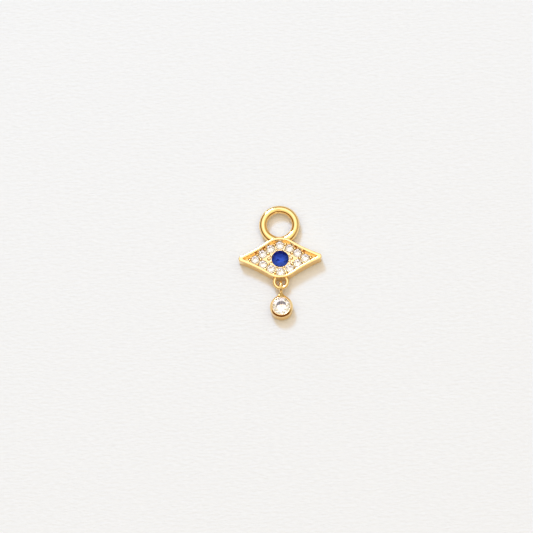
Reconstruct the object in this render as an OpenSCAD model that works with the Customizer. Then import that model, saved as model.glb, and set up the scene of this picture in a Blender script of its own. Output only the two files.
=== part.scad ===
// Evil eye charm: a pave-set eye on a closed bail ring, with a bezel-set drop linked under it.
// It lies on its back, face up. +X runs along the eye, +Y points to the bail, +Z leaves the face.
// The origin is the middle of the footprint, and Z = 0 is the flat back of the castings.

/* [Stones] */
// Diameter of the blue stone, the pupil of the eye
pupil_d = 2.0; // [1.6:0.1:2.5]
// Diameter of the twelve white stones around the pupil
pave_d = 1.0; // [0.8:0.05:1.25]
// Diameter of the white stone in the drop
drop_stone_d = 2.25; // [1.75:0.25:3]
// Gap between the pupil and the six stones that ring it
pupil_gap = 0.18; // [0.1:0.02:0.4]
// Gap between neighbours in the ring of six
ring_gap = 0.2; // [0.1:0.02:0.4]
// Gap between neighbours in the rows that run to the tips
row_gap = 0.12; // [0.06:0.02:0.3]
// Gap between the two outer stones above and below the long axis
pair_gap = 0.3; // [0.1:0.02:0.5]
// Clearance between a stone and the metal that holds it
seat_gap = 0.01; // [0.005:0.005:0.03]

/* [Eye setting] */
// Height of the setting from its back to the top of its rim
plate_t = 1.5; // [1.2:0.05:2.2]
// Height of the bed that the stones are set in
bed_t = 0.9; // [0.85:0.05:1.1]
// Width of the raised rim along the flanks
rim_w = 0.3; // [0.2:0.02:0.5]
// Width of the rim at the two tips, measured along the long axis
tip_rim = 0.55; // [0.4:0.05:0.9]
// Gap between the ring of six stones and the rim
edge_gap = 0.04; // [0.02:0.01:0.15]
// Least gap between the outer stones and the flanks of the rim
flank_gap = 0.04; // [0.02:0.01:0.15]
// Length of the empty corner between the last stone and the rim's tip
corner_l = 0.91; // [0.7:0.05:1.6]
// Radius of the hollow curve of each flank
flank_r = 18; // [12:1:60]
// Radius of the rounded tips outside
tip_r = 0.35; // [0.2:0.05:0.45]
// Radius of the tips inside the rim
inner_tip_r = 0.08; // [0.05:0.01:0.15]

/* [Beads] */
// Diameter of the beads that hold the white stones
row_bead_d = 0.38; // [0.32:0.02:0.46]
// Diameter of the beads around the pupil
pupil_bead_d = 0.3; // [0.24:0.02:0.4]
// How far a bead reaches over the edge of its stone
bead_bite = 0.03; // [0.02:0.01:0.08]
// Angle of the side beads of the pupil from the long axis
side_bead_angle = 18; // [12:1:24]

/* [Back openings] */
// Diameter of the drilled opening behind the pupil
pupil_window_d = 1.0; // [0.6:0.1:1.4]
// Diameter of the drilled openings behind the white stones
pave_window_d = 0.5; // [0.3:0.05:0.6]
// Diameter of the opening behind the drop stone
drop_window_d = 1.2; // [0.8:0.1:1.6]

/* [Bail ring] */
// Clear bore of the bail ring
bail_bore_d = 3.0; // [2:0.1:5]
// Thickness of the bail ring's round wire
bail_wire_d = 0.95; // [0.6:0.05:1.4]
// Length of the flat land that is polished inside the bore
bail_land = 0.3; // [0.1:0.05:0.4]
// Metal between the bore and the edge of the eye
bail_foot = 0.26; // [0.1:0.02:0.6]

/* [Links] */
// Outer diameter of the loop soldered under the eye
eye_loop_d = 2.0; // [1.6:0.1:2.8]
// Wire thickness of the eye loop
eye_loop_wire = 0.45; // [0.3:0.05:0.55]
// How far the eye loop is let into the edge of the eye
eye_loop_sink = 0.68; // [0.3:0.02:0.8]
// Clear bore of the drop loop
drop_loop_bore = 0.82; // [0.75:0.02:1.3]
// Wire thickness of the drop loop
drop_loop_wire = 0.36; // [0.25:0.01:0.45]
// Clearance between the two loops' wires at rest
link_clear = 0.085; // [0.03:0.005:0.1]
// Height of the drop loop above the surface that the charm lies on
loop_lift = 0.03; // [0:0.01:0.1]

/* [Drop bezel] */
// Thickness of the bezel wall around the drop stone
bezel_wall = 0.225; // [0.15:0.025:0.4]
// Height of the bezel
bezel_h = 1.5; // [1.4:0.05:2.2]
// Height of the lip above the stone's girdle
lip_h = 0.22; // [0.15:0.01:0.3]
// How far the lip is turned over the edge of the stone
lip_over = 0.08; // [0.04:0.01:0.12]
// Length of the pointed neck between the drop loop and the bezel
neck_l = 0.41; // [0.3:0.02:0.8]
// Diameter of the neck where it meets the drop loop
neck_d = 0.4; // [0.3:0.02:0.6]

/* [Stone cut] */
// Table width as a share of the stone's diameter
table_share = 0.56; // [0.5:0.01:0.62]
// Crown height as a share of the stone's diameter
crown_share = 0.15; // [0.12:0.01:0.17]
// Girdle height as a share of the stone's diameter
girdle_share = 0.03; // [0.02:0.005:0.04]
// Pavilion depth as a share of the stone's diameter
pavilion_share = 0.4; // [0.38:0.01:0.4]

/* [Hidden] */
$fn = 96;
flank_fn = 720;         // sides of the whole circle that a flank is a short arc of
wire_fn = 48;           // sides of a round wire or a cone
bead_fn = 32;           // sides of a bead
far = 3;                // reach of a cut beyond the metal
bead_root = 0.2;        // depth of a bead's shank in the bed
neck_root = 0.3;        // depth of the neck's foot in the bezel wall
neck_margin = 0.05;     // metal left above and below the neck's foot

// White stones: six around the pupil, then two outer pairs, then one towards each tip.
ring_r = pupil_d / 2 + pupil_gap + pave_d / 2;
ring_step = 2 * asin((pave_d + ring_gap) / 2 / ring_r);
inner_x = ring_r * sin(ring_step);
inner_y = ring_r * cos(ring_step);
row_step = pave_d + row_gap;
outer_y = (pave_d + pair_gap) / 2;
outer_x = inner_x + sqrt(pow(row_step, 2) - pow(inner_y - outer_y, 2));
last_x = outer_x + sqrt(pow(row_step, 2) - pow(outer_y, 2));
PAVE = [
    [0, ring_r],
    [inner_x, inner_y],
    [outer_x, outer_y],
    [last_x, 0],
    [outer_x, -outer_y],
    [inner_x, -inner_y],
    [0, -ring_r],
    [-inner_x, -inner_y],
    [-outer_x, -outer_y],
    [-last_x, 0],
    [-outer_x, outer_y],
    [-inner_x, inner_y]
];

// Outline of the eye: apex arcs centred on the pupil, hollow flanks, round tips.
// The apex arcs clear the ring of six, and are wide enough for the flanks to clear the outer stones.
inner_tip_x = last_x + pave_d / 2 + corner_l;
tip_x = inner_tip_x + tip_rim;
clear_centre = circles_meet(
    [outer_x, outer_y], flank_r + pave_d / 2 + flank_gap,
    [inner_tip_x - inner_tip_r, 0], flank_r + inner_tip_r
);
inner_apex_r = max(ring_r + pave_d / 2 + edge_gap, norm(clear_centre) - flank_r);
apex_r = inner_apex_r + rim_w;

// Places along Y, measured from the pupil.
bail_ring_r = bail_bore_d / 2 + sqrt(pow(bail_wire_d / 2, 2) - pow(bail_land / 2, 2));
bail_y = apex_r + bail_foot + bail_bore_d / 2;
eye_loop_r = (eye_loop_d - eye_loop_wire) / 2;
eye_loop_y = -(apex_r + eye_loop_d / 2 - eye_loop_sink);
hinge_y = eye_loop_y - eye_loop_r;
drop_loop_r = (drop_loop_bore + drop_loop_wire) / 2;
drop_loop_y = hinge_y + drop_loop_bore / 2 - eye_loop_wire / 2 - link_clear;
bezel_d = drop_stone_d + 2 * bezel_wall;
bezel_y = drop_loop_y - drop_loop_r - drop_loop_wire / 2 - neck_l - bezel_d / 2;

// Heights and the shift that puts the middle of the footprint at the origin.
link_z = loop_lift + drop_loop_r + drop_loop_wire / 2;
lip_z = bezel_h - lip_h;
pupil_y = (-(bezel_y - bezel_d / 2) - (bail_y + bail_ring_r + bail_wire_d / 2)) / 2;

// Height of a stone's lower girdle edge when its upper girdle edge is at the height z.
function stone_z(d, z) = z - d * girdle_share;

// Point where two circles meet, on the left of the way from the centre p to the centre q.
function circles_meet(p, p_r, q, q_r) =
    let (way = q - p)
    let (d = norm(way))
    let (along = (p_r * p_r - q_r * q_r + d * d) / (2 * d))
    let (aside = sqrt(p_r * p_r - along * along))
    p + (along * way + aside * [-way.y, way.x]) / d;

// Centre of a hollow flank that runs smoothly into an apex arc and a tip arc.
function flank_centre(apex, tip, end_x, flank) =
    circles_meet([0, 0], apex + flank, [end_x - tip, 0], tip + flank);

// Bead beside the gap between two stones a and b, on the left of the way from a to b.
function bead_beside(a, b) =
    let (half = norm(b - a) / 2)
    let (reach = pave_d / 2 + row_bead_d / 2 - bead_bite)
    let (side = [a.y - b.y, b.x - a.x] / (2 * half))
    (a + b) / 2 + side * sqrt(max(0, reach * reach - half * half));

module mirrored() {
    for (sx = [0, 1], sy = [0, 1]) {
        mirror([sx, 0, 0]) mirror([0, sy, 0]) children();
    }
}

module eye_outline(apex, tip, end_x, flank) {
    c = flank_centre(apex, tip, end_x, flank);
    circle(r = apex);
    mirrored() {
        translate([end_x - tip, 0]) circle(r = tip);
        difference() {
            polygon([[0, 0], [end_x - tip, 0], c]);
            translate(c) circle(r = flank, $fn = flank_fn);
        }
    }
}

module outer_outline() {
    eye_outline(apex_r, tip_r, tip_x, flank_r - rim_w);
}

module inner_outline() {
    eye_outline(inner_apex_r, inner_tip_r, inner_tip_x, flank_r);
}

// Everything inside the outer wall of the eye, for trimming what is soldered to it.
module eye_block() {
    translate([0, pupil_y, -far]) linear_extrude(plate_t + 2 * far) outer_outline();
}

// Round brilliant: pavilion cone, girdle, crown cone and table, grown by gap.
module brilliant(d, gap = 0) {
    r = d / 2 + gap;
    girdle = d * girdle_share;
    top = girdle + d * crown_share + gap;
    rotate_extrude() polygon([
        [0, -d * pavilion_share - 2 * gap],
        [r, -gap],
        [r, girdle + gap],
        [d * table_share / 2 + gap, top],
        [0, top]
    ]);
}

module pave_brilliant(i, gap = 0) {
    translate([PAVE[i].x, PAVE[i].y + pupil_y, stone_z(pave_d, bed_t)]) brilliant(pave_d, gap);
}

module pupil_brilliant(gap = 0) {
    translate([0, pupil_y, stone_z(pupil_d, bed_t)]) brilliant(pupil_d, gap);
}

module drop_brilliant(gap = 0) {
    translate([0, bezel_y + pupil_y, stone_z(drop_stone_d, lip_z)]) brilliant(drop_stone_d, gap);
}

module window(d, p, top) {
    translate([p.x, p.y, -far]) cylinder(d = d, h = far + top);
}

module bead(d, p) {
    translate([p.x, p.y, bed_t - bead_root]) cylinder(d = d, h = bead_root, $fn = bead_fn);
    translate([p.x, p.y, bed_t]) sphere(d = d, $fn = bead_fn);
}

module beads() {
    pupil_reach = pupil_d / 2 + pupil_bead_d / 2 - bead_bite;
    tip_reach = last_x + pave_d / 2 + row_bead_d / 2 - bead_bite;
    near_reach = last_x - pave_d / 2 - row_bead_d / 2 + bead_bite;
    mirrored() {
        for (i = [0 : 2]) {
            bead(row_bead_d, bead_beside(PAVE[i], PAVE[i + 1]));
        }
        bead(row_bead_d, bead_beside(PAVE[2], PAVE[1]));
        for (a = [90 - ring_step / 2, side_bead_angle]) {
            bead(pupil_bead_d, pupil_reach * [cos(a), sin(a)]);
        }
    }
    for (x = [near_reach, tip_reach], side = [-1, 1]) {
        bead(row_bead_d, [side * x, 0]);
    }
}

module ring(r, wire) {
    rotate_extrude() translate([r, 0]) circle(d = wire, $fn = wire_fn);
}

module eye_setting() {
    color("gold") difference() {
        translate([0, pupil_y, 0]) difference() {
            union() {
                linear_extrude(bed_t) outer_outline();
                linear_extrude(plate_t) difference() {
                    outer_outline();
                    inner_outline();
                }
                beads();
            }
            window(pupil_window_d, [0, 0], bed_t);
            for (p = PAVE) {
                window(pave_window_d, p, bed_t);
            }
        }
        pupil_brilliant(seat_gap);
        for (i = [0 : len(PAVE) - 1]) {
            pave_brilliant(i, seat_gap);
        }
    }
}

module bail_ring() {
    color("gold") difference() {
        translate([0, bail_y + pupil_y, plate_t / 2]) rotate_extrude() difference() {
            translate([bail_ring_r, 0]) circle(d = bail_wire_d);
            translate([0, -bail_wire_d]) square([bail_bore_d / 2, 2 * bail_wire_d]);
        }
        eye_block();
    }
}

module eye_loop() {
    color("gold") difference() {
        translate([0, eye_loop_y + pupil_y, link_z]) ring(eye_loop_r, eye_loop_wire);
        eye_block();
    }
}

module pupil_stone() {
    color("mediumblue") pupil_brilliant();
}

module pave_stone(i) {
    color("whitesmoke") pave_brilliant(i);
}

module drop_loop() {
    color("gold") translate([0, drop_loop_y + pupil_y, link_z])
        rotate([0, 90, 0]) ring(drop_loop_r, drop_loop_wire);
}

// Pointed neck from inside the drop loop's wire to a wide foot in the bezel wall.
module neck() {
    top_y = drop_loop_y - drop_loop_r;
    foot_y = bezel_y + bezel_d / 2 - neck_root;
    foot_r = min(link_z, bezel_h - link_z) - neck_margin;
    translate([0, top_y + pupil_y, link_z]) rotate([90, 0, 0])
        cylinder(r1 = neck_d / 2, r2 = foot_r, h = top_y - foot_y, $fn = wire_fn);
}

module drop_bezel() {
    color("gold") difference() {
        union() {
            translate([0, bezel_y + pupil_y, 0]) cylinder(d = bezel_d, h = bezel_h);
            neck();
        }
        drop_brilliant(seat_gap);
        window(drop_window_d, [0, bezel_y + pupil_y], lip_z);
        translate([0, bezel_y + pupil_y, lip_z]) cylinder(r = drop_stone_d / 2 - lip_over, h = far);
        drop_loop();
    }
}

module drop_stone() {
    color("whitesmoke") drop_brilliant();
}

function pave_name(i) = str("pave_stone_", i < 9 ? "0" : "", i + 1);

eye_setting();
bail_ring();
eye_loop();
pupil_stone();
for (i = [0 : len(PAVE) - 1]) {
    pave_stone(i);
}
drop_loop();
drop_bezel();
drop_stone();
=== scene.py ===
"""Evil eye charm: a gold eye set with stones on a closed bail ring, and a bezel-set drop linked under it.

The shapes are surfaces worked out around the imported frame, in metres. The charm lies on its back, face up:
+X runs along the eye, +Y points to the bail and +Z leaves the face.
"""

import functools

import bmesh
import bpy
import numpy as np
from bpy.props import FloatProperty, FloatVectorProperty, PointerProperty
from mathutils import Matrix, Vector


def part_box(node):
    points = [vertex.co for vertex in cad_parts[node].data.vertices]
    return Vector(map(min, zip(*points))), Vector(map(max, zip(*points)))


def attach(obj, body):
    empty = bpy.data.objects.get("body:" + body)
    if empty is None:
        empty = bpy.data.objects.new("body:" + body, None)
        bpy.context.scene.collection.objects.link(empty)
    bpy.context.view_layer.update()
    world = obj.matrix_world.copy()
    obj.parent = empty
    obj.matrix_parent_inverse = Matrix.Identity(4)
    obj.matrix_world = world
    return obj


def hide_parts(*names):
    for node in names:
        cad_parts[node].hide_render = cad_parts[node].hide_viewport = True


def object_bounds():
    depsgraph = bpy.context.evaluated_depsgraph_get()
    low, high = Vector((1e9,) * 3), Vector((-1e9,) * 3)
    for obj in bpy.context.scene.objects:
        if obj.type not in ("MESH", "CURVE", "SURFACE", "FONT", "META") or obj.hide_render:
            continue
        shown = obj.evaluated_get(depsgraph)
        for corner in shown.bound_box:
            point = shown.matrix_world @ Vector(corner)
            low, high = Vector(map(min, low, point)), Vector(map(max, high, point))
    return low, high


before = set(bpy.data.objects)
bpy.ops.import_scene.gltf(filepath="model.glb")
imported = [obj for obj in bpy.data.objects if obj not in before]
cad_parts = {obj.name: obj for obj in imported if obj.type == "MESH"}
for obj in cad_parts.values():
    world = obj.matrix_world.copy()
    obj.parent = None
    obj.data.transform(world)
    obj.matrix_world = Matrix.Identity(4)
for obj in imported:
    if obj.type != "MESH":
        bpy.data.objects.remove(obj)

bl_info = {
    "name": "Evil eye charm",
    "version": (1, 0, 0),
    "blender": (4, 5, 0),
    "location": "3D View > Sidebar > Eye charm",
    "description": "Builds a gold eye charm with its stones, bail and linked drop around the packed frame",
    "category": "Add Mesh",
}

CAD_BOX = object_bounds()
MM = 0.001
SAME_PLACE = 1e-7
TURN = 2 * np.pi
WHITE_STONE_IOR = 2.17
BLUE_STONE_IOR = 1.77
CARD_GRAIN = (3, 1, 1)
PAVE_NODES = sorted(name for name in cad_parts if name.startswith("pave_stone_"))


# Sizes and colours that a user would change

class StoneSizes(bpy.types.PropertyGroup):
    crown: FloatProperty(
        name="Crown", description="Crown height as a share of the diameter", default=0.15,
        min=0.1, max=0.2, subtype="FACTOR")
    table: FloatProperty(
        name="Table", description="Table width as a share of the diameter", default=0.56,
        min=0.5, max=0.62, subtype="FACTOR")
    girdle: FloatProperty(
        name="Girdle", description="Girdle height as a share of the diameter", default=0.03,
        min=0.01, max=0.04, subtype="FACTOR")
    star: FloatProperty(
        name="Star length", description="Reach of the star facets from the table to the girdle",
        default=0.5, min=0.3, max=0.7, subtype="FACTOR")
    lower: FloatProperty(
        name="Lower halves", description="Reach of the lower girdle facets from the girdle to the point",
        default=0.76, min=0.5, max=0.9, subtype="FACTOR")


class MetalSizes(bpy.types.PropertyGroup):
    rim: FloatProperty(
        name="Rim", description="Width of the raised rim along the flanks", default=0.3 * MM, unit="LENGTH")
    tip_rim: FloatProperty(
        name="Tip rim", description="Width of the rim at the two tips", default=0.55 * MM, unit="LENGTH")
    tip_round: FloatProperty(
        name="Tip rounding", description="Radius of the tips outside", default=0.35 * MM, unit="LENGTH")
    inner_tip_round: FloatProperty(
        name="Inner tip rounding", description="Radius of the tips inside the rim", default=0.08 * MM,
        unit="LENGTH")
    flank: FloatProperty(
        name="Flank", description="Radius of the hollow curve of each flank", default=18 * MM,
        unit="LENGTH")
    edge: FloatProperty(
        name="Rim rounding", description="Radius of the polished edges of the rim", default=0.1 * MM,
        unit="LENGTH")
    seat_gap: FloatProperty(
        name="Seat gap", description="Clearance between a stone and its seat", default=0.01 * MM,
        unit="LENGTH")
    bright_cut: FloatProperty(
        name="Bright cut", description="Width of the bevel cut around each seat", default=0.03 * MM,
        unit="LENGTH")
    bead: FloatProperty(
        name="Bead", description="Diameter of the beads that hold the white stones", default=0.38 * MM,
        unit="LENGTH")
    pupil_bead: FloatProperty(
        name="Pupil bead", description="Diameter of the beads around the pupil", default=0.3 * MM,
        unit="LENGTH")
    bead_bite: FloatProperty(
        name="Bead bite", description="How far a bead reaches over the edge of its stone",
        default=0.03 * MM, unit="LENGTH")
    side_bead: FloatProperty(
        name="Side bead angle", description="Angle of the pupil's side beads from the long axis",
        default=np.radians(18), subtype="ANGLE")
    pave_window: FloatProperty(
        name="White stone window", description="Diameter of the opening behind a white stone of the eye",
        default=0.5 * MM, unit="LENGTH")
    pupil_window: FloatProperty(
        name="Pupil window", description="Diameter of the opening behind the pupil", default=1 * MM,
        unit="LENGTH")
    drop_window: FloatProperty(
        name="Drop window", description="Diameter of the opening behind the drop's stone",
        default=1.2 * MM, unit="LENGTH")
    bail_land: FloatProperty(
        name="Bore land", description="Length of the flat land inside the bail ring", default=0.3 * MM,
        unit="LENGTH")
    lip: FloatProperty(
        name="Lip", description="How far the bezel's lip is turned over the drop stone", default=0.08 * MM,
        unit="LENGTH")
    lip_land: FloatProperty(
        name="Lip land", description="Width of the flat on top of the bezel's lip", default=0.08 * MM,
        unit="LENGTH")
    bevel: FloatProperty(
        name="Bezel bevel", description="Depth of the bevel around the top of the bezel",
        default=0.25 * MM, unit="LENGTH")
    solder: FloatProperty(
        name="Solder", description="Swelling of a soldered ring at its joint, as a share of the wire",
        default=0.1, min=0, max=0.5, subtype="FACTOR")


class Finishes(bpy.types.PropertyGroup):
    gold: FloatVectorProperty(
        name="Gold", description="Colour of the gold plate", default=(0.98, 0.7, 0.31), size=3, min=0,
        max=1, subtype="COLOR")
    # Paler gold for thin edges and crests: partly wear, partly a painted highlight.
    worn_and_highlit_gold: FloatVectorProperty(
        name="Worn and highlit gold", description="Colour of the gold where it is rubbed", default=(1.0, 0.9, 0.68),
        size=3, min=0, max=1, subtype="COLOR")
    polish: FloatProperty(
        name="Polish", description="Roughness of the polished gold", default=0.05, min=0, max=1,
        subtype="FACTOR")
    clear: FloatVectorProperty(
        name="White stone", description="Colour of the white stones", default=(1.0, 1.0, 1.0), size=3,
        min=0, max=1, subtype="COLOR")
    blue: FloatVectorProperty(
        name="Blue stone", description="Colour of the pupil stone", default=(0.09, 0.2, 1.0), size=3,
        min=0, max=1, subtype="COLOR")
    paper: FloatVectorProperty(
        name="Paper", description="Colour of the textured card underneath", default=(0.88, 0.88, 0.88),
        size=3, min=0, max=1, subtype="COLOR")


class StageSizes(bpy.types.PropertyGroup):
    azimuth: FloatProperty(
        name="Azimuth", description="Way round from the front to the right", default=np.radians(6),
        subtype="ANGLE")
    elevation: FloatProperty(
        name="Elevation", description="Height of the camera above the horizon", default=np.radians(72),
        subtype="ANGLE")
    turn: FloatProperty(
        name="Turn", description="Turn of the charm in the picture, counter-clockwise",
        default=np.radians(2.0), subtype="ANGLE")
    distance: FloatProperty(
        name="Distance", description="Distance from the camera to the pupil", default=0.35, unit="LENGTH")
    width: FloatProperty(
        name="Picture width", description="Width of the picture at the charm", default=63.4 * MM,
        unit="LENGTH")
    offset: FloatVectorProperty(
        name="Offset", description="Place of the pupil from the middle of the picture",
        default=(1.63 * MM, 0.92 * MM), size=2, unit="LENGTH")
    key: FloatProperty(
        name="Key light", description="Power of the soft key light in watts", default=10.9, min=0)
    key_colour: FloatVectorProperty(
        name="Key colour", description="Colour of the key light", default=(0.33, 0.61, 1.0), size=3, min=0,
        max=1, subtype="COLOR")
    glint: FloatProperty(
        name="Glint light", description="Power of the small low light in watts", default=0.1, min=0)
    sky: FloatVectorProperty(
        name="Sky", description="Brightness of the studio overhead", default=(1.45, 1.3, 0.95), size=3,
        min=0, max=2, subtype="COLOR")
    panel: FloatVectorProperty(
        name="Panel", description="Brightness of the soft panel over the charm", default=(1.65, 1.5, 1.6),
        size=3, min=0, max=3, subtype="COLOR")
    horizon: FloatProperty(
        name="Horizon", description="Brightness of the bright side near the horizon, as a share of the sky",
        default=0.44, min=0, max=1, subtype="FACTOR")
    wall: FloatVectorProperty(
        name="Wall", description="Brightness of the dark side of the studio", default=(0.19, 0.07, 0.01),
        size=3, min=0, max=1, subtype="COLOR")


class EyeCharm(bpy.types.PropertyGroup):
    stones: PointerProperty(type=StoneSizes, name="Stones", description="Cut of the stones")
    metal: PointerProperty(type=MetalSizes, name="Metal", description="Sizes of the gold work")
    finish: PointerProperty(type=Finishes, name="Finishes", description="Colours and polish")
    stage: PointerProperty(type=StageSizes, name="Stage", description="Paper, light and camera")


def charm():
    """The settings of the charm in this scene."""
    return bpy.context.scene.eye_charm


# Places read from the frame

def middle(node):
    """Middle of a node's box."""
    low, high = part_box(node)
    return np.array((low + high) / 2)


def width(node, axis=0):
    """Extent of a node along an axis."""
    low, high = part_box(node)
    return high[axis] - low[axis]


def pupil_place():
    """Place of the pupil stone's axis on the base plane."""
    return middle("pupil_stone") * [1, 1, 0]


def girdle_top(node):
    """Height of a stone's upper girdle edge, its crown below the top of its box."""
    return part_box(node)[1].z - charm().stones.crown * width(node)


def pave_places():
    """Axis of each white stone of the eye from the pupil, one row each."""
    return np.array([(middle(node) - pupil_place())[:2] for node in PAVE_NODES])


# Curves

def arc(centre, radius, start, end, steps):
    """Arc of a circle: centre + radius * (cos t, sin t) for angles t from start to end."""
    t = np.linspace(start, end, steps)[:, None]
    return np.array(centre) + radius * np.hstack([np.cos(t), np.sin(t)])


def blended(corners, radii, steps=6):
    """Open path through corners, each rounded by the curve (1-t)^2 a + 2 t (1-t) corner + t^2 b.
    a and b lie on the two legs, at the corner's radius from it. Radius 0 leaves the corner sharp."""
    corners = np.array(corners, float)
    t = np.linspace(0, 1, steps)[:, None]
    path = [corners[:1]]
    for before, corner, after, radius in zip(corners, corners[1:], corners[2:], radii):
        legs = [before - corner, after - corner]
        a, b = [corner + leg * min(radius / np.linalg.norm(leg), 0.5) for leg in legs]
        path.append((1 - t) ** 2 * a + 2 * t * (1 - t) * corner + t ** 2 * b if radius else corner[None])
    return np.vstack(path + [corners[-1:]])


def eye_outline(apex, tip, end, flank, steps=(14, 40, 26)):
    """Closed outline of an eye: a round tip, a hollow flank and an apex arc, mirrored to four quarters.
    The flank's centre is where two circles meet: apex + flank about the pupil, tip + flank about the tip."""
    tip_x = end - tip
    along = ((apex + flank) ** 2 - (tip + flank) ** 2 + tip_x ** 2) / (2 * tip_x)
    aside = np.sqrt((apex + flank) ** 2 - along ** 2)
    tip_angle = np.arctan2(aside, along - tip_x)
    apex_angle = np.arctan2(aside, along)
    quarter = np.vstack([
        arc((tip_x, 0), tip, 0, tip_angle, steps[0]),
        arc((along, aside), flank, tip_angle + np.pi, apex_angle + np.pi, steps[1])[1:],
        arc((0, 0), apex, apex_angle, np.pi / 2, steps[2])[1:],
    ])
    upper = np.vstack([quarter, quarter[-2::-1] * [-1, 1]])
    return np.vstack([upper, upper[-2:0:-1] * [1, -1]])


# Surfaces

def ring_faces(rows, cols):
    """Quads between neighbouring rows of a grid whose rows are closed rings."""
    row = np.arange(rows - 1)[:, None] * cols
    col = np.arange(cols)
    after = (col + 1) % cols
    return np.stack([row + col, row + after, row + cols + after, row + cols + col], axis=-1).reshape(-1, 4)


def tube_shape(rings):
    """Vertices and faces of a closed loop of closed rings."""
    rows, cols = rings.shape[:2]
    faces = ring_faces(rows + 1, cols) % (rows * cols)
    return rings.reshape(-1, 3), faces.tolist()


def solid_shape(rings):
    """Vertices and faces of a row of closed rings, closed by a fan to the middle of each end ring."""
    rows, cols = rings.shape[:2]
    count = rows * cols
    points = np.vstack([rings.reshape(-1, 3), rings[0].mean(0), rings[-1].mean(0)])
    col = np.arange(cols)
    after = (col + 1) % cols
    first = np.stack([after, col, np.full(cols, count)], axis=-1)
    last = np.stack([count - cols + col, count - cols + after, np.full(cols, count + 1)], axis=-1)
    return points, ring_faces(rows, cols).tolist() + first.tolist() + last.tolist()


def turned(profile, centre, sides):
    """Rings of a turned shape: each (r, z) of the profile gives centre + (r cos t, r sin t, z)."""
    t = np.linspace(0, TURN, sides, endpoint=False)
    r, z = np.array(profile).T[:, :, None]
    return np.stack([r * np.cos(t), r * np.sin(t), z + 0 * t], axis=-1) + np.array(centre)


def joined(shapes):
    """Vertices and faces of several shapes as one."""
    starts = np.cumsum([0] + [len(points) for points, faces in shapes])
    points = np.vstack([points for points, faces in shapes])
    faces = [
        [corner + start for corner in face] for start, (_, shape) in zip(starts, shapes) for face in shape]
    return points, faces


def add_piece(name, shape, sharp=30):
    """Object of a shape, with its faces outwards and its edges above the sharp angle kept crisp."""
    points, faces = shape
    mesh = bpy.data.meshes.new(name)
    mesh.from_pydata(points.tolist(), [], faces)
    clean(mesh)
    piece = bpy.data.objects.new(name, mesh)
    bpy.context.scene.collection.objects.link(piece)
    smooth(piece, sharp)
    return piece


def clean(mesh):
    """Merges the points that coincide, drops the faces without area and turns the faces outwards."""
    work = bmesh.new()
    work.from_mesh(mesh)
    bmesh.ops.remove_doubles(work, verts=work.verts, dist=SAME_PLACE)
    bmesh.ops.dissolve_degenerate(work, edges=work.edges, dist=SAME_PLACE)
    if work.calc_volume(signed=True) < 0:
        bmesh.ops.reverse_faces(work, faces=work.faces)
    work.to_mesh(mesh)
    work.free()


def smooth(piece, sharp=30):
    """Smooth shading, with the edges above the sharp angle in degrees kept crisp."""
    piece.data.shade_smooth()
    piece.data.set_sharp_from_angle(angle=np.radians(sharp))


def carve(piece, tool):
    """Cuts the tool out of the piece, applies the cut and removes the tool."""
    cut = piece.modifiers.new("cut", "BOOLEAN")
    cut.operation = "DIFFERENCE"
    cut.solver = "MANIFOLD"
    cut.object = tool
    made = piece.evaluated_get(bpy.context.evaluated_depsgraph_get())
    mesh = bpy.data.meshes.new_from_object(made)
    if not mesh.polygons:
        raise RuntimeError(f"nothing is left of {piece.name} after its cut")
    clean(mesh)
    piece.modifiers.clear()
    piece.data = mesh
    mesh.name = piece.name
    bpy.data.objects.remove(tool)
    smooth(piece)


def finish_piece(piece, material, slot, body, *nodes):
    """Gives a piece its material, rides it on its body and stands it for its CAD nodes; the slot is not
    used.
    """
    piece.data.materials.clear()
    piece.data.materials.append(material)
    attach(piece, body)
    if nodes:
        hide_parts(*nodes)


# Materials

def new_material(name):
    """Material with its nodes, its surface shader and its object coordinates."""
    material = bpy.data.materials.new(name)
    material.use_nodes = True
    nodes = material.node_tree.nodes
    place = nodes.new("ShaderNodeTexCoord").outputs["Object"]
    return material, nodes["Principled BSDF"], place


def shaded(colour, shares):
    """Colour with each of its parts multiplied by its share."""
    return tuple(part * share for part, share in zip(colour, shares))


def pattern(material, kind, place, sizes):
    """Texture node of a kind whose unit is as long as the size given for each axis, in metres."""
    tree = material.node_tree
    mapping = tree.nodes.new("ShaderNodeMapping")
    mapping.inputs["Scale"].default_value = [1 / size for size in sizes]
    texture = tree.nodes.new(kind)
    texture.inputs["Scale"].default_value = 1
    tree.links.new(place, mapping.inputs["Vector"])
    tree.links.new(mapping.outputs["Vector"], texture.inputs["Vector"])
    return texture


def noise(material, place, size, detail=2.0, stretch=(1, 1, 1)):
    """Noise whose patches are about size metres across, drawn out along the axes by stretch."""
    texture = pattern(material, "ShaderNodeTexNoise", place, [size * share for share in stretch])
    texture.inputs["Detail"].default_value = detail
    return texture.outputs["Fac"]


def cells(material, place, size):
    """A value that steps between straight-edged cells about size metres across."""
    return pattern(material, "ShaderNodeTexVoronoi", place, [size] * 3).outputs["Color"]


def distance_from(material, place, centre):
    """Distance from a point."""
    tree = material.node_tree
    node = tree.nodes.new("ShaderNodeVectorMath")
    node.operation = "DISTANCE"
    node.inputs[1].default_value = centre
    tree.links.new(place, node.inputs[0])
    return node.outputs["Value"]


def ranged(material, value, low, high, start=0.3, end=0.7):
    """A value between start and end, mapped to between low and high."""
    tree = material.node_tree
    node = tree.nodes.new("ShaderNodeMapRange")
    node.inputs["From Min"].default_value = start
    node.inputs["From Max"].default_value = end
    node.inputs["To Min"].default_value = low
    node.inputs["To Max"].default_value = high
    tree.links.new(value, node.inputs["Value"])
    return node.outputs["Result"]


def mixed(material, share, first, second):
    """Colour between first and second by a share."""
    tree = material.node_tree
    node = tree.nodes.new("ShaderNodeMix")
    node.data_type = "RGBA"
    for socket, colour in ((node.inputs[6], first), (node.inputs[7], second)):
        if isinstance(colour, bpy.types.NodeSocket):
            tree.links.new(colour, socket)
        else:
            socket.default_value = (*colour, 1)
    tree.links.new(share, node.inputs["Factor"])
    return node.outputs[2]


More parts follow.
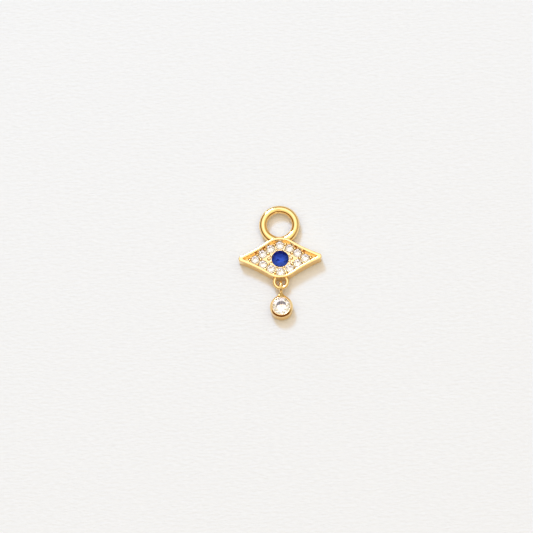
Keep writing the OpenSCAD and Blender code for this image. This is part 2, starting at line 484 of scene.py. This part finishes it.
def occlusion(material, distance, inside=False):
    """How open the surface is within a distance, or how thick it is when looked at from inside."""
    node = material.node_tree.nodes.new("ShaderNodeAmbientOcclusion")
    node.inputs["Distance"].default_value = distance
    node.inside = inside
    node.samples = 4
    return node.outputs["AO"]


def bumped(material, shader, height, depth, strength=1.0, under=None):
    """Bump of a height in metres on a shader, laid over another bump if one is given."""
    tree = material.node_tree
    node = tree.nodes.new("ShaderNodeBump")
    node.inputs["Distance"].default_value = depth
    node.inputs["Strength"].default_value = strength
    tree.links.new(height, node.inputs["Height"])
    if under:
        tree.links.new(under, node.inputs["Normal"])
    tree.links.new(node.outputs["Normal"], shader.inputs["Normal"])
    return node.outputs["Normal"]


def gold_plate():
    """Polished gold plate: soft casting waves, fine polishing lines, paler edges that are partly wear and
    partly a painted highlight, and painted shade in the hollows.
    """
    finish = charm().finish
    material, shader, place = new_material("polished_gold_plate")
    tree = material.node_tree
    shader.inputs["Metallic"].default_value = 1
    patches = noise(material, place, size=0.9 * MM)
    roughness = ranged(material, patches, low=finish.polish * 0.7, high=finish.polish * 1.9)
    tree.links.new(roughness, shader.inputs["Roughness"])
    # Paler colour where the metal is thin, on edges and crests: partly wear, partly a painted highlight.
    edges = occlusion(material, distance=0.12 * MM, inside=True)
    rubbed_and_highlit = ranged(material, edges, low=1, high=0, start=0.4, end=0.85)
    # Painted shade: the gold turns darker where the surface is hemmed in by other surfaces.
    hollows = occlusion(material, distance=0.4 * MM)
    shade = ranged(material, hollows, low=1, high=0, start=0.1, end=0.6)
    colour = mixed(material, rubbed_and_highlit, finish.gold, finish.worn_and_highlit_gold)
    painted_shade_gold = shaded(finish.gold, shares=(0.6, 0.46, 0.32))
    tree.links.new(mixed(material, shade, colour, painted_shade_gold), shader.inputs["Base Color"])
    swells = noise(material, place, size=0.55 * MM, detail=1)
    waves = bumped(material, shader, swells, depth=0.012 * MM, strength=0.35)
    lines = noise(material, place, size=0.03 * MM, stretch=(14, 1, 1))
    bumped(material, shader, lines, depth=0.0006 * MM, strength=0.25, under=waves)
    return material


def add_wipe_marks(material, shader, place, dullest):
    """Faint marks left by wiping, as roughness from none to the dullest."""
    marks = noise(material, place, size=0.25 * MM, detail=3)
    material.node_tree.links.new(ranged(material, marks, low=0, high=dullest), shader.inputs["Roughness"])


def white_stone():
    """Clear white stone, polished, with faint wipe marks on its facets."""
    material, shader, place = new_material("cut_white_stone")
    shader.inputs["Base Color"].default_value = (*charm().finish.clear, 1)
    shader.inputs["IOR"].default_value = WHITE_STONE_IOR
    shader.inputs["Transmission Weight"].default_value = 0.96
    add_wipe_marks(material, shader, place, dullest=0.06)
    return material


def blue_stone():
    """Deep blue stone, polished, with painted flashes: bright and dark cells like the flashes of its back;
    painted light makes it brighter below its middle, and painted shade darkens its edge.
    """
    blue = charm().finish.blue
    material, shader, place = new_material("cut_blue_stone")
    shader.inputs["IOR"].default_value = BLUE_STONE_IOR
    shader.inputs["Specular Tint"].default_value = (0.08, 0.2, 1, 1)
    shader.inputs["Transmission Weight"].default_value = 0.5
    # Painted shade: a darker blue for the stone's edge and its dark cells.
    painted_shade_blue = shaded(blue, shares=(0.01, 0.04, 0.2))
    # Painted light: the stone is brighter around a point below its middle and falls off to the darker blue
    # at its edge.
    centre = middle("pupil_stone") - [0, 0.3 * width("pupil_stone"), 0]
    away = distance_from(material, place, centre)
    painted_light_zone = ranged(material, away, low=1, high=0, start=0.6 * MM, end=1.4 * MM)
    # Painted reflections: bright and dark cells that stand in for the flashes in the stone's back.
    painted_flash = ranged(material, cells(material, place, size=0.45 * MM), low=0, high=1, start=0.32, end=0.55)
    colour = mixed(material, painted_light_zone, painted_shade_blue, mixed(material, painted_flash, painted_shade_blue, blue))
    material.node_tree.links.new(colour, shader.inputs["Base Color"])
    add_wipe_marks(material, shader, place, dullest=0.05)
    return material


def paper_card():
    """White card with a fine grain drawn out along X."""
    material, shader, place = new_material("textured_card")
    tree = material.node_tree
    shader.inputs["Roughness"].default_value = 0.85
    paper = charm().finish.paper
    darker = shaded(paper, shares=[0.965] * 3)
    mottle = noise(material, place, size=0.22 * MM, detail=3, stretch=CARD_GRAIN)
    colour = mixed(material, ranged(material, mottle, low=0, high=1), paper, darker)
    tree.links.new(colour, shader.inputs["Base Color"])
    fibres = noise(material, place, size=0.3 * MM, detail=4, stretch=CARD_GRAIN)
    bumped(material, shader, fibres, depth=0.075 * MM, strength=0.8)
    return material


@functools.cache
def material_of(maker):
    """The material that a maker function makes, made once."""
    return maker()


# Shapes of the pieces

def brilliant_shape(node):
    """Round brilliant of 57 facets and a girdle, in a node's box.
    Rings from the table down: 8 table corners, 8 star points, two girdle rings of 16, 8 lower points and
    the culet. The heights of the star and lower points keep the kite facets flat: each point lies on the
    line from kite end to kite end."""
    cut = charm().stones
    low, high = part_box(node)
    d = width(node)
    r = d / 2
    rim_top = girdle_top(node)
    rim_low = rim_top - cut.girdle * d
    half_step = TURN / 16
    table_r = cut.table * r
    star_r = table_r * np.cos(half_step) * (1 - cut.star) + r * cut.star
    star_z = rim_top + (r - star_r * np.cos(half_step)) / (r - table_r) * (high.z - rim_top)
    lower_r = r * (1 - cut.lower)
    lower_z = low.z + lower_r * np.cos(half_step) / r * (rim_low - low.z)

    def ring(radius, height, count, offset=0.0):
        t = np.arange(count) * TURN / count + offset
        return np.column_stack([radius * np.cos(t), radius * np.sin(t), np.full(count, height)])

    centre = middle(node) * [1, 1, 0]
    points = np.vstack([
        ring(table_r, high.z, 8), ring(star_r, star_z, 8, half_step), ring(r, rim_top, 16),
        ring(r, rim_low, 16), ring(lower_r, lower_z, 8, half_step), [[0, 0, low.z]],
    ]) + centre
    table, star, upper, under, lower, culet = 0, 8, 16, 32, 48, 56
    k = np.arange(8)
    after, before = (k + 1) % 8, (k - 1) % 8
    at, between, onward = 2 * k, 2 * k + 1, (2 * k + 2) % 16
    g = np.arange(16)
    facets = [
        np.stack([table + k, star + k, table + after]),
        np.stack([table + k, star + before, upper + at, star + k]),
        np.stack([star + k, upper + at, upper + between]),
        np.stack([star + k, upper + between, upper + onward]),
        np.stack([upper + g, under + g, under + (g + 1) % 16, upper + (g + 1) % 16]),
        np.stack([under + at, lower + k, under + between]),
        np.stack([under + between, lower + k, under + onward]),
        np.stack([culet + 0 * k, lower + k, under + at, lower + before]),
    ]
    faces = [k.tolist()] + [face for group in facets for face in group.T.tolist()]
    return points, faces


def setting_shape():
    """The eye's casting: a profile from the bed over the rim to the back, carried round two outlines.
    A profile point (q, z) lies q outside the inner outline, with q scaled to the rim's width there."""
    metal = charm().metal
    low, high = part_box("eye_setting")
    bed = girdle_top("pupil_stone")
    apex = width("eye_setting", 1) / 2
    end = width("eye_setting") / 2
    outer = eye_outline(apex, metal.tip_round, end, metal.flank - metal.rim)
    inner = eye_outline(apex - metal.rim, metal.inner_tip_round, end - metal.tip_rim, metal.flank)
    w = metal.rim
    shelf = 0.06 * MM
    foot, inner_edge, outer_edge, back_edge = 0.04 * MM, metal.edge * 0.8, metal.edge, 0.06 * MM
    profile = blended(
        [(-shelf, bed), (0, bed), (0, high.z), (w, high.z), (w, low.z), (0, low.z)],
        [foot, inner_edge, outer_edge, back_edge], steps=7)
    q, z = profile.T[:, :, None]
    share = np.clip(q / w, 0, 1)[..., None]
    shrink = 1 + np.minimum(q, 0)[..., None] / np.linalg.norm(inner, axis=1)[None, :, None]
    flat = (inner * (1 - share) + outer * share) * shrink
    rings = np.concatenate([flat, np.broadcast_to(z[..., None], flat.shape[:2] + (1,))], axis=-1)
    return solid_shape(rings + pupil_place())


def seat_shape(node, window, sides):
    """Tool that cuts a stone's seat: window, cone, straight wall and bright-cut bevel."""
    metal = charm().metal
    cut = charm().stones
    d = width(node)
    gap = metal.seat_gap
    r = d / 2 + gap
    top = girdle_top(node)
    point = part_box(node)[0].z - 2 * gap
    girdle = top - cut.girdle * d - gap
    window_z = point + (girdle - point) * window / 2 / r
    bevel_r = r + metal.bright_cut
    bevel_depth = 1.2 * metal.bright_cut
    below, above = -0.5 * MM, 0.05 * MM
    profile = [
        (window / 2, below), (window / 2, window_z), (r, girdle), (r, top - bevel_depth), (bevel_r, top),
        (bevel_r, top + above),
    ]
    return solid_shape(turned(profile, middle(node) * [1, 1, 0], sides))


def bead_places():
    """Centre from the pupil, and diameter, of each bead, one row each.
    A row bead stands as far from both its stones as its bite allows, and the pupil's beads ring the pupil.
    On the long axis, beads stand beside the last stone and between the outer pair and the pupil."""
    metal = charm().metal
    pave = pave_places()
    pave_r = width(PAVE_NODES[0]) / 2
    reach = pave_r + metal.bead / 2 - metal.bead_bite
    pupil_reach = width("pupil_stone") / 2 + metal.pupil_bead / 2 - metal.bead_bite

    def beside(a, b):
        half = np.linalg.norm(b - a) / 2
        side = np.array([a[1] - b[1], b[0] - a[0]]) / (2 * half)
        return (a + b) / 2 + side * np.sqrt(max(0, reach ** 2 - half ** 2))

    quarter = [(*beside(pave[i], pave[i + 1]), metal.bead) for i in range(3)]
    quarter.append((*beside(pave[2], pave[1]), metal.bead))
    step = np.arctan2(pave[1][0], pave[1][1])
    for angle in (np.pi / 2 - step / 2, metal.side_bead):
        quarter.append((pupil_reach * np.cos(angle), pupil_reach * np.sin(angle), metal.pupil_bead))
    quarter = np.array(quarter)
    inner_reach = 1.1 * reach
    row = [pave[3][0] - reach, pave[3][0] + reach, pave[2][0] - inner_reach]
    row = np.array([(x, 0, metal.bead) for x in row])
    return np.vstack([quarter * [x, y, 1] for x in (-1, 1) for y in (-1, 1)] + [row, row * [-1, 1, 1]])


def beads_shape():
    """Beads raised from the bed: a flared root, a short shank and a dome, set at each bead's place.
    All beads are one array: the same unit profile times each bead's radius."""
    bed = girdle_top("pupil_stone")
    root = [(1.28, -0.35), (1.26, 0), (1.1, 0.07), (1.02, 0.16)]
    dome = arc((0, 0.25), 1, 0, np.pi / 2, 9)[:-1] * [1, 0.85]
    top = [(0.06, 1.06)]
    unit = turned(np.vstack([root, dome, top]), (0, 0, 0), sides=20)
    places = bead_places()
    beads = unit[None] * (places[:, 2] / 2)[:, None, None, None]
    beads[..., :2] += places[:, None, None, :2]
    beads[..., 2] += bed
    return joined([solid_shape(bead + pupil_place()) for bead in beads])


def ring_shape(centre, radius, profile, plane="XY", joint=None, swell=0.0, sides=128):
    """Closed ring: the wire's profile (out, up) carried round a circle of a radius.
    At an angle a from a joint the wire swells by the share exp(-(a / joint_width)^2) * swell."""
    t = np.linspace(0, TURN, sides, endpoint=False)
    out, up = np.array(profile).T[:, None, :]
    joint_width = 0.3
    grow = np.ones((sides, 1))
    if joint is not None:
        away = np.minimum.reduce([np.abs((t - angle + np.pi) % TURN - np.pi) for angle in joint])
        grow = 1 + swell * np.exp(-(away / joint_width) ** 2)[:, None]
    r = np.maximum(radius + out * grow, radius + out.min())
    rings = np.stack([r * np.cos(t)[:, None], r * np.sin(t)[:, None], up * grow], axis=-1)
    if plane == "YZ":
        rings = rings[..., [2, 0, 1]]
    return tube_shape(rings + np.array(centre))


def wire_profile(wire, land=0.0, sides=32):
    """Round wire's section as (out, up), with its inner side cut to a flat land of that length."""
    t = np.linspace(0, TURN, sides, endpoint=False)
    section = wire / 2 * np.column_stack([np.cos(t), np.sin(t)])
    flat = -np.sqrt((wire / 2) ** 2 - (land / 2) ** 2)
    section[:, 0] = np.maximum(section[:, 0], flat)
    return section


def eye_core(inset=0.15 * MM):
    """Tool that trims what is soldered to the eye: a round core a little inside its apex arcs."""
    core_r = width("eye_setting", 1) / 2 - inset
    bottom, top = -1 * MM, 3 * MM
    profile = [(core_r, bottom), (core_r, top)]
    return add_piece("core", solid_shape(turned(profile, pupil_place(), sides=160)))


def cup_profile():
    """Closed section of the bezel as (r, z): up the seat's cone and wall, over the lip and down outside."""
    metal = charm().metal
    low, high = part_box("drop_bezel")
    d = width("drop_stone")
    gap = metal.seat_gap
    r = width("drop_bezel") / 2
    seat_r = d / 2 + gap
    lip_r = d / 2 - metal.lip
    girdle = girdle_top("drop_stone")
    seat_low = girdle - charm().stones.girdle * d - gap
    window = metal.drop_window / 2
    window_z = seat_low - (seat_r - window) * (seat_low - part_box("drop_stone")[0].z) / seat_r
    wall_top, lip_low = girdle + 0.01 * MM, girdle + 0.05 * MM
    corners = [
        (window, window_z), (seat_r, seat_low), (seat_r, wall_top), (lip_r, lip_low), (lip_r, high.z),
        (lip_r + metal.lip_land, high.z), (r, high.z - metal.bevel), (r, low.z), (window, low.z),
        (window, window_z),
    ]
    roundings = MM * np.array([0, 0.01, 0.01, 0.04, 0.05, 0.07, 0.08, 0.04])
    return blended(corners, roundings, steps=8)[1:]


def cup_shape():
    """The bezel: a turned cup with a window, a seat and a bevelled lip, drawn out to a pointed neck.
    At the angle a from +Y, the neck adds to the outer radius R: R / cos(max(0, A - a)) - R for the point,
    where A is its spread, and a stalk that falls off as exp(-(a / stalk_width)^2). Both are thinner above
    and below the height of the link, as the square root of 1 - (height / stalk_half)^2."""
    centre = middle("drop_stone") * [1, 1, 0]
    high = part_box("drop_bezel")[1]
    r = width("drop_bezel") / 2
    seat_r = width("drop_stone") / 2 + charm().metal.seat_gap
    reach = high.y - centre[1] - r
    spread = np.radians(35)
    stalk_width = np.radians(9)
    stalk_half = 0.62 * high.z
    t = np.linspace(0, TURN, 240, endpoint=False)
    away = np.abs((t - np.pi / 2 + np.pi) % TURN - np.pi)
    out, up = cup_profile().T[:, :, None]
    point = r / np.cos(np.maximum(0, spread - away)) - r
    stalk = (reach - (r / np.cos(spread) - r)) * np.exp(-(away / stalk_width) ** 2)
    height = np.sqrt(np.clip(1 - ((up - middle("drop_loop")[2]) / stalk_half) ** 2, 0.02, 1))
    edge = np.clip((out - seat_r) / (r - seat_r), 0, 1)
    grown = out + edge * (point * (0.75 + 0.25 * height) + stalk * height ** 2)
    rings = np.stack([grown * np.cos(t), grown * np.sin(t), up + 0 * t], axis=-1)
    return tube_shape(rings + centre)


# Operators

class BuildStage(bpy.types.Operator):
    """Lay the card, hang the lights and set up the camera"""
    bl_idname = "eye_charm.build_stage"
    bl_label = "Stage"

    def execute(self, context):
        make_card()
        make_lights()
        make_camera()
        return {"FINISHED"}


def make_card(half=2.0, gap=0.005 * MM):
    """The card that the charm lies on: a flat square a hair under the charm's lowest point."""
    low = CAD_BOX[0][2] - gap
    points = half * np.array([(-1, -1, 0), (1, -1, 0), (1, 1, 0), (-1, 1, 0)]) + [0, 0, low]
    mesh = bpy.data.meshes.new("card")
    mesh.from_pydata(points.tolist(), [], [[0, 1, 2, 3]])
    card = bpy.data.objects.new("card", mesh)
    bpy.context.scene.collection.objects.link(card)
    mesh.materials.append(paper_card())


def make_light(name, place, size, power, colour=(1, 1, 1)):
    """Square area light of a size that looks at the origin."""
    light = bpy.data.lights.new(name, "AREA")
    light.size = size
    light.energy = power
    light.color = colour
    lamp = bpy.data.objects.new(name, light)
    bpy.context.scene.collection.objects.link(lamp)
    turn = Vector(place).to_track_quat("Z", "Y").to_matrix()
    lamp.matrix_world = Matrix.Translation(place) @ turn.to_4x4()


def view_axes():
    """Direction to the camera, and the picture's right and up, with the charm turned in the picture."""
    stage = charm().stage
    azimuth, elevation = stage.azimuth, stage.elevation
    level = Vector((np.cos(azimuth), np.sin(azimuth), 0))
    away = Vector((np.sin(azimuth), -np.cos(azimuth), 0))
    back = away * np.cos(elevation) + Vector((0, 0, np.sin(elevation)))
    right = Matrix.Rotation(-stage.turn - azimuth * np.sin(elevation), 3, back) @ level
    return back, right, back.cross(right)


def make_lights():
    """A key light from above the bail, a small low light for glints, and the studio around them."""
    stage = charm().stage
    bpy.context.scene.view_settings.view_transform = "Standard"
    make_light("key", (-0.35, 0.95, 1.1), size=0.3, power=stage.key, colour=stage.key_colour)
    make_light("glint", (-0.3, 0.48, 0.09), size=0.07, power=stage.glint)
    make_studio()


def make_studio():
    """World of a soft studio: bright overhead with a brighter panel, dark near the horizon in front and
    on the left, with a dark round patch where the camera stands."""
    stage = charm().stage
    world = bpy.data.worlds.new("studio")
    bpy.context.scene.world = world
    world.use_nodes = True
    tree = world.node_tree
    direction = tree.nodes.new("ShaderNodeTexCoord").outputs["Generated"]

    def towards(axis):
        node = tree.nodes.new("ShaderNodeVectorMath")
        node.operation = "DOT_PRODUCT"
        node.inputs[1].default_value = axis
        tree.links.new(direction, node.inputs[0])
        return node.outputs["Value"]

    def times(first, second):
        node = tree.nodes.new("ShaderNodeMath")
        node.operation = "MULTIPLY"
        tree.links.new(first, node.inputs[0])
        tree.links.new(second, node.inputs[1])
        return node.outputs["Value"]

    height = towards((0, 0, 1))
    low = ranged(world, height, low=1, high=0, start=0.4, end=0.58)
    side = ranged(world, towards((-0.6, -0.8, 0)), low=0.3, high=1, start=-0.5, end=0)
    lens = ranged(world, towards(view_axes()[0]), low=0, high=0.85, start=0.988, end=0.995)
    above = ranged(world, height, low=0, high=1, start=0.6, end=0.9)
    panel = ranged(world, towards((-0.06, 0.31, 0.95)), low=0, high=1, start=0.88, end=0.96)
    dimmer = shaded(stage.sky, shares=[stage.horizon] * 3)
    overhead = mixed(world, panel, mixed(world, above, dimmer, stage.sky), stage.panel)
    lit = mixed(world, times(low, side), overhead, stage.wall)
    tree.links.new(mixed(world, lens, lit, stage.wall), tree.nodes["Background"].inputs["Color"])


def make_camera():
    """Camera that looks down at the charm from the front, with the pupil at its place in the picture."""
    stage = charm().stage
    camera = bpy.data.cameras.new("camera")
    camera.sensor_width = 36
    camera.lens = camera.sensor_width * stage.distance / stage.width
    camera.clip_start = 0.01
    camera.clip_end = 20
    holder = bpy.data.objects.new("camera", camera)
    bpy.context.scene.collection.objects.link(holder)
    back, right, up = view_axes()
    pupil = Vector(middle("pupil_stone"))
    pupil.z = girdle_top("pupil_stone")
    place = pupil - right * stage.offset[0] - up * stage.offset[1] + back * stage.distance
    turn = Matrix((right, up, back)).transposed()
    holder.matrix_world = Matrix.Translation(place) @ turn.to_4x4()
    bpy.context.scene.camera = holder


class BuildSetting(bpy.types.Operator):
    """Cast the eye with its rim and seats, and raise its beads"""
    bl_idname = "eye_charm.build_setting"
    bl_label = "Eye setting"

    def execute(self, context):
        metal = charm().metal
        gold = material_of(gold_plate)
        setting = add_piece("eye_casting", setting_shape())
        seats = [seat_shape(node, metal.pave_window, sides=48) for node in PAVE_NODES]
        seats.append(seat_shape("pupil_stone", metal.pupil_window, sides=72))
        carve(setting, add_piece("seats", joined(seats)))
        finish_piece(setting, gold, "gold", "eye", "eye_setting")
        beads = add_piece("bead_prongs", beads_shape(), sharp=50)
        finish_piece(beads, gold, "gold", "eye", "eye_setting")
        return {"FINISHED"}


class BuildBail(bpy.types.Operator):
    """Bend the closed bail ring and solder it to the top of the eye"""
    bl_idname = "eye_charm.build_bail"
    bl_label = "Bail ring"

    def execute(self, context):
        metal = charm().metal
        low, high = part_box("bail_ring")
        wire = high.z - low.z
        radius = width("bail_ring") / 2 - wire / 2
        centre = np.array([0, high.y - radius - wire / 2, (low.z + high.z) / 2])
        profile = wire_profile(wire, metal.bail_land)
        joint = np.radians([-128, -52])
        ring = add_piece("bail_ring_wire", ring_shape(centre, radius, profile, "XY", joint, metal.solder))
        carve(ring, eye_core())
        finish_piece(ring, material_of(gold_plate), "gold", "eye", "bail_ring")
        return {"FINISHED"}


class BuildLinks(bpy.types.Operator):
    """Bend the eye's small loop and the drop's loop that hangs in it"""
    bl_idname = "eye_charm.build_links"
    bl_label = "Links"

    def execute(self, context):
        metal = charm().metal
        gold = material_of(gold_plate)
        low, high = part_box("eye_loop")
        wire = high.z - low.z
        radius = width("eye_loop") / 2 - wire / 2
        centre = np.array([0, low.y + radius + wire / 2, (low.z + high.z) / 2])
        joint = np.radians([52, 128])
        loop = add_piece(
            "eye_loop_wire", ring_shape(centre, radius, wire_profile(wire), "XY", joint, metal.solder))
        carve(loop, eye_core())
        finish_piece(loop, gold, "gold", "eye", "eye_loop")
        wire = width("drop_loop")
        radius = width("drop_loop", 1) / 2 - wire / 2
        shape = ring_shape(middle("drop_loop"), radius, wire_profile(wire), "YZ", sides=96)
        finish_piece(add_piece("drop_loop_wire", shape), gold, "gold", "drop", "drop_loop")
        return {"FINISHED"}


class BuildDropBezel(bpy.types.Operator):
    """Turn the drop's bezel and draw out its neck"""
    bl_idname = "eye_charm.build_drop_bezel"
    bl_label = "Drop bezel"

    def execute(self, context):
        cup = add_piece("drop_cup", cup_shape(), sharp=40)
        finish_piece(cup, material_of(gold_plate), "gold", "drop", "drop_bezel")
        return {"FINISHED"}


class BuildStones(bpy.types.Operator):
    """Cut the blue pupil, the white stones around it and the stone of the drop"""
    bl_idname = "eye_charm.build_stones"
    bl_label = "Stones"

    def execute(self, context):
        stones = [("pupil_gem", "pupil_stone", blue_stone, "blue_stone", "eye"),
                  ("drop_gem", "drop_stone", white_stone, "white_stone", "drop")]
        for node in PAVE_NODES:
            stones.append((node.replace("stone", "gem"), node, white_stone, "white_stone", "eye"))
        for name, node, maker, slot, body in stones:
            gem = add_piece(name, brilliant_shape(node))
            gem.data.shade_flat()
            finish_piece(gem, material_of(maker), slot, body, node)
        return {"FINISHED"}


class EyeCharmPanel(bpy.types.Panel):
    """Lists the steps that build the charm"""
    bl_idname = "VIEW3D_PT_eye_charm"
    bl_label = "Evil eye charm"
    bl_space_type = "VIEW_3D"
    bl_region_type = "UI"
    bl_category = "Eye charm"

    def draw(self, context):
        for step in STEPS:
            self.layout.operator(step.bl_idname)
        for group in (charm().stones, charm().metal, charm().finish, charm().stage):
            box = self.layout.box()
            for name in group.__annotations__:
                box.prop(group, name)


STEPS = (BuildStage, BuildSetting, BuildBail, BuildLinks, BuildDropBezel, BuildStones)
CLASSES = (StoneSizes, MetalSizes, Finishes, StageSizes, EyeCharm, *STEPS, EyeCharmPanel)


def register():
    for item in CLASSES:
        bpy.utils.register_class(item)
    bpy.types.Scene.eye_charm = PointerProperty(type=EyeCharm)


def unregister():
    del bpy.types.Scene.eye_charm
    for item in reversed(CLASSES):
        bpy.utils.unregister_class(item)


def main():
    register()
    bpy.ops.eye_charm.build_stage()
    bpy.ops.eye_charm.build_setting()
    bpy.ops.eye_charm.build_bail()
    bpy.ops.eye_charm.build_links()
    bpy.ops.eye_charm.build_drop_bezel()
    bpy.ops.eye_charm.build_stones()


if __name__ == "__main__":
    main()
